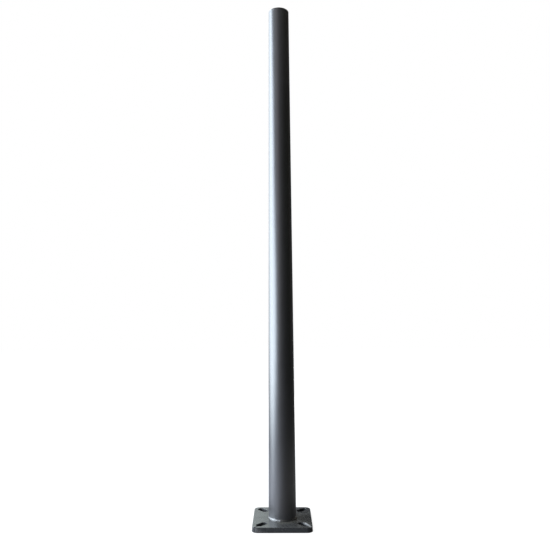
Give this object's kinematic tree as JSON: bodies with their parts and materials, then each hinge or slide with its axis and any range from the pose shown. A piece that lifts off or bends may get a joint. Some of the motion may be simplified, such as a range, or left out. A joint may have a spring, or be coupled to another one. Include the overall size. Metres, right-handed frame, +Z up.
{
  "type": "tapered round steel pole",
  "caption": "Tapered round steel pole, capped flush at the top, with a covered hand hole low on its back, welded into a square base plate with radial anchor slots.",
  "frame": {"origin": "centre of the base plate's underside, on the shaft's axis", "axes": "+Z up along the shaft; X and Y run through the anchor slots, so the plate's sides stand at 45 degrees to them; the hand hole faces -X +Y and the side in the picture faces +X -Y"},
  "size_m": [0.356, 0.356, 2.4384],
  "materials": {
    "pole_paint": "satin"
  },
  "bodies": {
    "root": {"base_plate": "pole_paint", "shaft": "pole_paint", "base_weld": "pole_paint", "socket_weld": "pole_paint", "seam_weld": "pole_paint", "hand_hole_rim": "pole_paint", "hand_hole_cover": "pole_paint", "ground_nut": "pole_paint", "top_cap": "pole_paint"}
  },
  "joints": []
}
